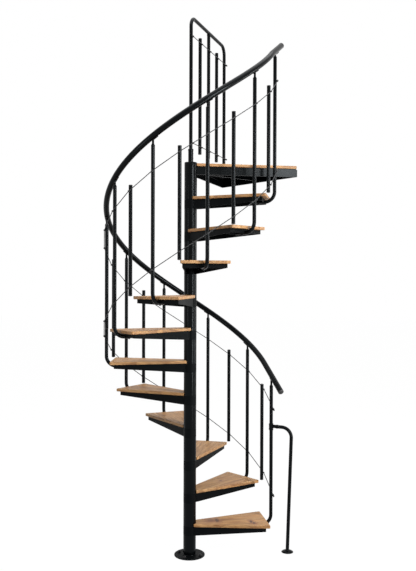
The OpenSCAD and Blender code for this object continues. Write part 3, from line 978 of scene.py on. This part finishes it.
def make_holders():
    places = []
    for k in range(2 * TREADS - 1):
        i = 1 + k / 2
        for height in (ROPE_HIGH, ROPE_LOW):
            places.append(facing(polar(BALUSTER_R, angle_at(i), level_at(i) + height),
                                 polar(1, angle_at(i), 0)))
    row = finish_piece(repeated(holder(), places), "rope_grips", MOULDING)
    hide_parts("rope_holders")


def stop():
    """A round knob clamped on a rope's end."""
    return turned([(0.0042, 0), (0.0056, 0.0006), (STOP_R, 0.0016), (STOP_R, 0.0088),
                   (0.0056, 0.0108), (0.0044, 0.0124), (0.0024, STOP_L)], 24)


def make_stops():
    places = []
    for i, way in ((1, -1), (TREADS, 1)):
        for height in (ROPE_HIGH, ROPE_LOW):
            heading = rope_heading(i) * way
            places.append(facing(rope_point(i, height) + heading * ROPE_TAIL, heading))
    row = finish_piece(repeated(stop(), places), "rope_end_knobs", MOULDING)
    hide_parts("rope_stops")


# ---- floor support ----
def make_support():
    base = polar(BALUSTER_R, angle_at(1), 0)
    out = polar(1, SUPPORT_DIR, 0)
    foot_at = base + out * SUPPORT_REACH
    leg = SUPPORT_H - FOOT_T
    arm = SUPPORT_REACH + leg * math.sin(SUPPORT_LEAN) - (CLAMP_R + 0.0004)
    post = tube(TUBE_R, (-arm, 0, leg), X_AXIS, [("run", arm - BEND_R), ("bend", BEND_R, -UP),
                                                 ("run", leg - BEND_R + 0.003)])
    collar = turned([(TUBE_R, 0), (TUBE_R + 0.0014, 0.0010), (TUBE_R + 0.0014, 0.0150),
                     (TUBE_R, 0.0160)], TUBE_SIDES)
    collar.data.transform(facing((0.020 - arm, 0, leg), X_AXIS))
    lean = (spot(foot_at + UP * FOOT_T, SUPPORT_DIR) @ Matrix.Rotation(SUPPORT_LEAN, 4, "Y"))
    for piece in (post, collar):
        piece.data.transform(lean)
    foot = turned([(FOOT_R - 0.0006, 0), (FOOT_R, 0.0006), (FOOT_R, 0.0022),
                   (FOOT_R * 0.93, 0.0052), (FOOT_R * 0.76, 0.0092), (FOOT_R * 0.54, 0.0126),
                   (TUBE_R + 0.0040, 0.0146), (TUBE_R + 0.0016, 0.0172), (TUBE_R, 0.0176)], 64)
    foot.data.transform(Matrix.Translation(foot_at))
    piece = finish_piece(joined([post, foot, collar]), "support_tube", STEEL)
    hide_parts("support_post")
    half = 0.024
    edge = 0.0008
    bore = TUBE_R + 0.0002
    sleeve = turned([(bore, -half), (CLAMP_R - edge, -half), (CLAMP_R, -half + edge),
                     (CLAMP_R, half - edge), (CLAMP_R - edge, half), (bore, half)], 48,
                    bored=True)
    sleeve.data.transform(Matrix.Translation(base + UP * SUPPORT_H))
    clamp = finish_piece(sleeve, "support_sleeve", STEEL)
    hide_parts("support_clamp")
    screws = [facing(base - out * (CLAMP_R - edge) + UP * (SUPPORT_H + z), -out)
              for z in (-0.014, 0.014)]
    finish_piece(repeated(socket_head(0.0038, 0.0024), screws), "support_screws", SCREW)


# ---- landing ----
def underside_shade_sheet():
    """A black sheet right under the landing board, inside its frame: painted shade that makes the
    board's underside look dark.
    """
    sheet = node_copy("landing_board", 0.0002, segments=1)
    with editing(sheet) as mesh:
        pick_faces(mesh, lambda face: face.normal.z > -0.99)
        bpy.ops.mesh.delete(type="FACE")
        bpy.ops.mesh.select_all(action="SELECT")
        bpy.ops.mesh.inset(thickness=0.010, depth=0)
        bpy.ops.mesh.select_all(action="INVERT")
        bpy.ops.mesh.delete(type="FACE")
        bpy.ops.mesh.select_all(action="SELECT")
        push((0, 0, -0.0012))
    face_outwards(sheet)
    return sheet


def make_landing():
    # painted shade: a black sheet that darkens the landing board's underside
    finish_piece(underside_shade_sheet(), "landing_underside_shade", STEEL)
    board = node_copy("landing_board", 0.0026, segments=3, sharp=50)
    add_grain(board, TREADS + 1, LANDING_GRAIN, LANDING_Z)
    finish_piece(board, "oak_landing", OAK, flat=True)
    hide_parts("landing_board")
    steel = node_copy("landing_frame", 0.0008, segments=2, sharp=35)
    finish_piece(steel, "landing_pan", STEEL, flat=True)
    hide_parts("landing_frame")


# ---- guard ----
def along_guard(s, height=0.0, side=0.0):
    """A place s along the guard, at a height over the landing, side to its right."""
    line = polar(s, GUARD_DIR, LANDING_Z + height)
    return line + polar(side, GUARD_DIR - math.pi / 2, 0)


def make_guard_frame():
    """The bent top tube with both end posts, the middle post and the last post's foot."""
    along = polar(1, GUARD_DIR, 0)
    pitch = GUARD_RUN / 4
    cap_h = CAP_TOP - LANDING_Z
    straight = GUARD_H - GUARD_BEND - cap_h
    arch = tube(TUBE_R, along_guard(0, cap_h), UP,
                [("run", straight), ("bend", GUARD_BEND, along),
                 ("run", GUARD_RUN - 2 * GUARD_BEND), ("bend", GUARD_BEND, -UP),
                 ("run", GUARD_H - GUARD_BEND - 0.005)])
    low = GUARD_ROD_LOW + 0.006
    middle = tube(TUBE_R, along_guard(2 * pitch, low), UP, [("run", GUARD_H - low)])
    weld = weld_ring(TUBE_R + 0.0006, 0.0022, 48)
    weld.data.transform(Matrix.Translation(along_guard(2 * pitch, GUARD_H - TUBE_R - 0.0005)))
    foot = turned([(0.0244, 0), (0.0250, 0.0006), (0.0250, 0.0024), (0.0232, 0.0052),
                   (0.0190, 0.0078), (TUBE_R + 0.0012, 0.0090), (TUBE_R, 0.0092)], 48)
    foot.data.transform(Matrix.Translation(along_guard(GUARD_RUN)))
    piece = finish_piece(joined([arch, middle, weld, foot]), "guard_arch", STEEL)
    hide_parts("guard_frame")


def make_guard_rods():
    pitch = GUARD_RUN / 4
    cap = 0.006
    rod = tube(TUBE_R, (0, 0, cap), UP, [("run", GUARD_ROD_L - 2 * cap)])
    places = [along_guard(k * pitch, GUARD_ROD_LOW) for k in (1, 3)]
    rods = finish_piece(repeated(rod, [spot(p) for p in places]), "guard_uprights", STEEL)
    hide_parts("guard_rods")
    ends = [facing(p + UP * (GUARD_ROD_L - cap), UP) for p in places]
    ends += [facing(p + UP * cap, -UP) for p in places]
    ends.append(facing(along_guard(2 * pitch, GUARD_ROD_LOW + cap), -UP))
    finish_piece(repeated(tube_cap(TUBE_R, cap), ends), "guard_caps", MOULDING)


def make_guard_ropes():
    along = polar(1, GUARD_DIR, 0)
    pitch = GUARD_RUN / 4
    ropes = []
    for height in GUARD_ROPES:
        length = GUARD_RUN + 2 * ROPE_TAIL
        rope = straight_rope(length)
        rope.data.transform(spot(along_guard(-ROPE_TAIL, height, ROPE_OUT), GUARD_DIR))
        ropes.append(rope)
    pair = finish_piece(joined(ropes), "guard_wire_ropes", WIRE)
    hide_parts("guard_ropes")
    right = polar(1, GUARD_DIR - math.pi / 2, 0)
    grips = [facing(along_guard(k * pitch, h), right) for k in range(5) for h in GUARD_ROPES]
    row = finish_piece(repeated(holder(), grips), "guard_rope_grips", MOULDING)
    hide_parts("guard_rope_holders")
    knobs = []
    for h in GUARD_ROPES:
        knobs.append(facing(along_guard(-ROPE_TAIL, h, ROPE_OUT), -along))
        knobs.append(facing(along_guard(GUARD_RUN + ROPE_TAIL, h, ROPE_OUT), along))
    row = finish_piece(repeated(stop(), knobs), "guard_rope_knobs", MOULDING)
    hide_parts("guard_rope_stops")


# ---- studio ----
FLOOR_SIZE = 60
FLOOR_GREY = 0.20
FLOOR_WHITE = 1.125
FLOOR_WHITE_SHARE = 0.88
WORLD_LIGHT = 0.18
WORLD_WHITE = 1.0
LAMPS = (  # name, place, the point it faces, width and height, brightness of its face
    ("right_strip", (3.00, -2.70, 2.10), (0, 0, 2.0), (0.34, 3.00), 40.0),
    ("left_strip", (-2.90, -2.80, 2.10), (0, 0, 2.0), (0.40, 1.60), 11.0),
    ("front_strip", (2.45, -3.35, 3.32), (0.35, 0, 2.7), (1.30, 0.55), 23.0),
    ("side_strip", (4.20, 0.60, 2.10), (0, 0, 2.0), (0.60, 3.00), 12.0),
    ("top_softbox", (-0.2, -0.7, 6.6), (-0.1, 0, 1.4), (7.0, 6.0), 2.4),
)
CAMERA_PLACE = Vector((-0.009, -5.111, 1.946))
CAMERA_YAW = math.radians(-1.498)
CAMERA_PITCH = math.radians(-0.440)
CAMERA_ROLL = math.radians(0.189)
CAMERA_LENS = 45.634
CAMERA_SENSOR = 36


def make_floor():
    """A pale floor: it lights the stair as grey, and looks white where it is seen or mirrored."""
    deselect()
    bpy.ops.mesh.primitive_plane_add(size=FLOOR_SIZE, location=(0, 0, 0))
    floor = bpy.context.object
    floor.name = "studio_floor"
    f = Finish("studio_floor")
    f.set(Base_Color=(FLOOR_GREY, FLOOR_GREY, FLOOR_GREY, 1), Roughness=0.9)
    f.shader.inputs["Specular IOR Level"].default_value = 0.0
    path = f.node("ShaderNodeLightPath").outputs
    seen = f.math("MAXIMUM", path["Is Camera Ray"],
                  f.math("MAXIMUM", path["Is Glossy Ray"], path["Is Transmission Ray"]))
    white = f.node("ShaderNodeEmission", {"Color": (1, 1, 1, 1), "Strength": FLOOR_WHITE})
    mix = f.node("ShaderNodeMixShader", {"Fac": f.math("MULTIPLY", seen, FLOOR_WHITE_SHARE)})
    f.tree.links.new(f.shader.outputs[0], mix.inputs[1])
    f.tree.links.new(white.outputs[0], mix.inputs[2])
    f.tree.links.new(mix.outputs[0], f.tree.nodes["Material Output"].inputs["Surface"])
    floor.data.materials.append(f.material)


def make_world():
    """White surroundings that light the stair only a little."""
    world = bpy.data.worlds.new("studio")
    bpy.context.scene.world = world
    world.use_nodes = True
    nodes, links = world.node_tree.nodes, world.node_tree.links
    path = nodes.new("ShaderNodeLightPath")
    glossy = nodes.new("ShaderNodeMath")
    glossy.operation = "MAXIMUM"
    links.new(path.outputs["Is Glossy Ray"], glossy.inputs[0])
    links.new(path.outputs["Is Transmission Ray"], glossy.inputs[1])
    seen = nodes.new("ShaderNodeMath")
    seen.operation = "MAXIMUM"
    links.new(path.outputs["Is Camera Ray"], seen.inputs[0])
    links.new(glossy.outputs[0], seen.inputs[1])
    strength = nodes.new("ShaderNodeMapRange")
    strength.inputs["To Min"].default_value = WORLD_LIGHT
    strength.inputs["To Max"].default_value = WORLD_WHITE
    links.new(seen.outputs[0], strength.inputs["Value"])
    links.new(strength.outputs[0], nodes["Background"].inputs["Strength"])
    nodes["Background"].inputs["Color"].default_value = (1, 1, 1, 1)


def make_lamp(name, place, target, size, radiance):
    """A softbox: its power comes from its size and the brightness of its face."""
    deselect()
    bpy.ops.object.light_add(type="AREA", location=place)
    lamp = bpy.context.object
    lamp.name = name
    lamp.rotation_euler = (Vector(target) - Vector(place)).to_track_quat("-Z", "Y").to_euler()
    lamp.data.shape = "RECTANGLE"
    lamp.data.size, lamp.data.size_y = size
    lamp.data.energy = radiance * math.pi * size[0] * size[1]


def make_camera():
    camera = bpy.data.objects.new("camera", bpy.data.cameras.new("camera"))
    bpy.context.collection.objects.link(camera)
    camera.data.sensor_fit = "AUTO"
    camera.data.sensor_width = CAMERA_SENSOR
    camera.data.lens = CAMERA_LENS
    camera.location = CAMERA_PLACE
    camera.rotation_mode = "XYZ"
    turn = (Matrix.Rotation(CAMERA_YAW, 4, "Z")
            @ Matrix.Rotation(math.pi / 2 + CAMERA_PITCH, 4, "X")
            @ Matrix.Rotation(CAMERA_ROLL, 4, "Z"))
    camera.rotation_euler = turn.to_euler()
    bpy.context.scene.camera = camera


make_camera()
make_flange()
make_column()
make_column_cap()
make_treads()
make_brackets()
make_bracket_hardware()
make_long_balusters()
make_short_balusters()
make_handrail()
make_saddles()
make_stair_ropes()
make_holders()
make_stops()
make_support()
make_landing()
make_guard_frame()
make_guard_rods()
make_guard_ropes()
make_floor()
make_world()
for lamp in LAMPS:
    make_lamp(*lamp)
bpy.context.scene.view_settings.view_transform = "Standard"
